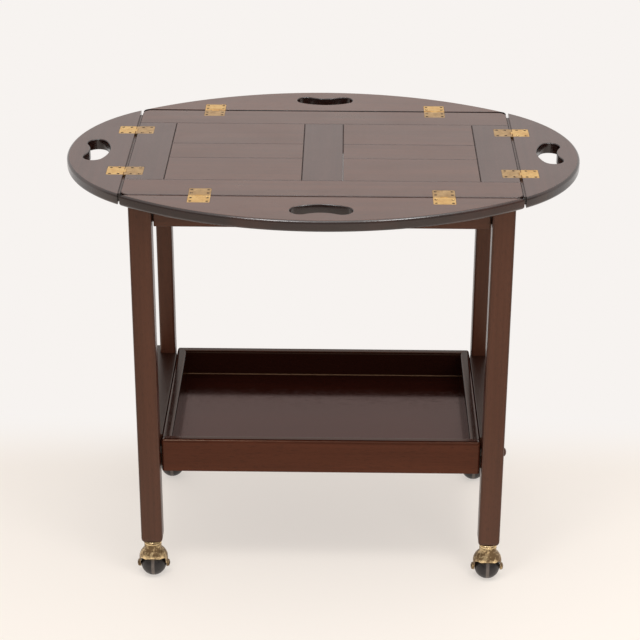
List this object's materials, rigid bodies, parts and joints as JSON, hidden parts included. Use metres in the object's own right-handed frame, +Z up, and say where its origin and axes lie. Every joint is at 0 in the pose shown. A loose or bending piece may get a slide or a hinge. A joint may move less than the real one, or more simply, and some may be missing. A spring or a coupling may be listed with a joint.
{
  "type": "tea trolley",
  "caption": "Oval butler's tea trolley: lift-off tray top with hinged leaves and hand holes, on a legged stand with a lower tray and ball casters.",
  "frame": {"origin": "on the floor, under the middle of the oval top", "axes": "+Z up, +X along the oval's length, -Y towards the front"},
  "size_m": [0.86, 0.6178, 0.731],
  "materials": {
    "wood": "satin lacquer",
    "wood_top": "satin lacquer",
    "hinge_brass": "brushed",
    "caster_brass": "aged",
    "dark_steel": "darkened",
    "ball": "satin"
  },
  "bodies": {
    "stand": {"leg_front_left": "wood", "leg_front_right": "wood", "leg_back_left": "wood", "leg_back_right": "wood", "apron_front": "wood", "apron_back": "wood", "apron_left": "wood", "apron_right": "wood", "stretcher_top_left": "wood", "stretcher_top_right": "wood", "stretcher_low_left": "wood", "stretcher_low_right": "wood", "tray_front": "wood", "tray_back": "wood", "tray_left": "wood", "tray_right": "wood", "tray_floor": "wood", "corner_blocks": "wood", "frame_bolts": "dark_steel", "bolt_washers": "dark_steel", "bolt_plugs": "wood", "bolt_button": "wood", "caster_sockets": "caster_brass"},
    "top": {"panel_rail_front": "wood_top", "panel_rail_back": "wood_top", "panel_end_left": "wood_top", "panel_end_right": "wood_top", "panel_cross": "wood_top", "panel_boards_left": "wood_top", "panel_boards_right": "wood_top", "panel_battens": "wood", "batten_screws": "dark_steel", "hinge_plates_panel": "hinge_brass", "hinge_pins": "hinge_brass", "hinge_screws_panel": "dark_steel"},
    "leaf_right": {"leaf_right": "wood_top", "plates_right": "hinge_brass", "screws_right": "dark_steel"},
    "leaf_back": {"leaf_back": "wood_top", "plates_back": "hinge_brass", "screws_back": "dark_steel"},
    "leaf_left": {"leaf_left": "wood_top", "plates_left": "hinge_brass", "screws_left": "dark_steel"},
    "leaf_front": {"leaf_front": "wood_top", "plates_front": "hinge_brass", "screws_front": "dark_steel"},
    "caster_front_left": {"hood_front_left": "caster_brass", "axle_front_left": "dark_steel"},
    "wheel_front_left": {"ball_front_left": "ball"},
    "caster_front_right": {"hood_front_right": "caster_brass", "axle_front_right": "dark_steel"},
    "wheel_front_right": {"ball_front_right": "ball"},
    "caster_back_left": {"hood_back_left": "caster_brass", "axle_back_left": "dark_steel"},
    "wheel_back_left": {"ball_back_left": "ball"},
    "caster_back_right": {"hood_back_right": "caster_brass", "axle_back_right": "dark_steel"},
    "wheel_back_right": {"ball_back_right": "ball"}
  },
  "joints": [
    {"name": "top_lift", "type": "slide", "parent": "stand", "child": "top", "axis": [0, 0, 1], "range_m": [0, 0.12]},
    {"name": "leaf_right_hinge", "type": "hinge", "parent": "top", "child": "leaf_right", "pos_m": [0.3235, 0, 0.7291], "axis": [0, -1, 0], "range_deg": [0, 90]},
    {"name": "leaf_back_hinge", "type": "hinge", "parent": "top", "child": "leaf_back", "pos_m": [0, 0.2045, 0.7291], "axis": [1, 0, 0], "range_deg": [0, 90]},
    {"name": "leaf_left_hinge", "type": "hinge", "parent": "top", "child": "leaf_left", "pos_m": [-0.3235, 0, 0.7291], "axis": [0, 1, 0], "range_deg": [0, 90]},
    {"name": "leaf_front_hinge", "type": "hinge", "parent": "top", "child": "leaf_front", "pos_m": [0, -0.2045, 0.7291], "axis": [-1, 0, 0], "range_deg": [0, 90]},
    {"name": "swivel_front_left", "type": "hinge", "parent": "stand", "child": "caster_front_left", "pos_m": [-0.293, -0.1735, 0.07], "axis": [0, 0, 1], "continuous": true},
    {"name": "wheel_front_left_spin", "type": "hinge", "parent": "caster_front_left", "child": "wheel_front_left", "pos_m": [-0.293, -0.1695, 0.022], "axis": [1, 0, 0], "continuous": true},
    {"name": "swivel_front_right", "type": "hinge", "parent": "stand", "child": "caster_front_right", "pos_m": [0.293, -0.1735, 0.07], "axis": [0, 0, 1], "continuous": true},
    {"name": "wheel_front_right_spin", "type": "hinge", "parent": "caster_front_right", "child": "wheel_front_right", "pos_m": [0.293, -0.1695, 0.022], "axis": [1, 0, 0], "continuous": true},
    {"name": "swivel_back_left", "type": "hinge", "parent": "stand", "child": "caster_back_left", "pos_m": [-0.28875, 0.1735, 0.07], "axis": [0, 0, 1], "continuous": true},
    {"name": "wheel_back_left_spin", "type": "hinge", "parent": "caster_back_left", "child": "wheel_back_left", "pos_m": [-0.28875, 0.1775, 0.022], "axis": [1, 0, 0], "continuous": true},
    {"name": "swivel_back_right", "type": "hinge", "parent": "stand", "child": "caster_back_right", "pos_m": [0.28875, 0.1735, 0.07], "axis": [0, 0, 1], "continuous": true},
    {"name": "wheel_back_right_spin", "type": "hinge", "parent": "caster_back_right", "child": "wheel_back_right", "pos_m": [0.28875, 0.1775, 0.022], "axis": [1, 0, 0], "continuous": true}
  ]
}
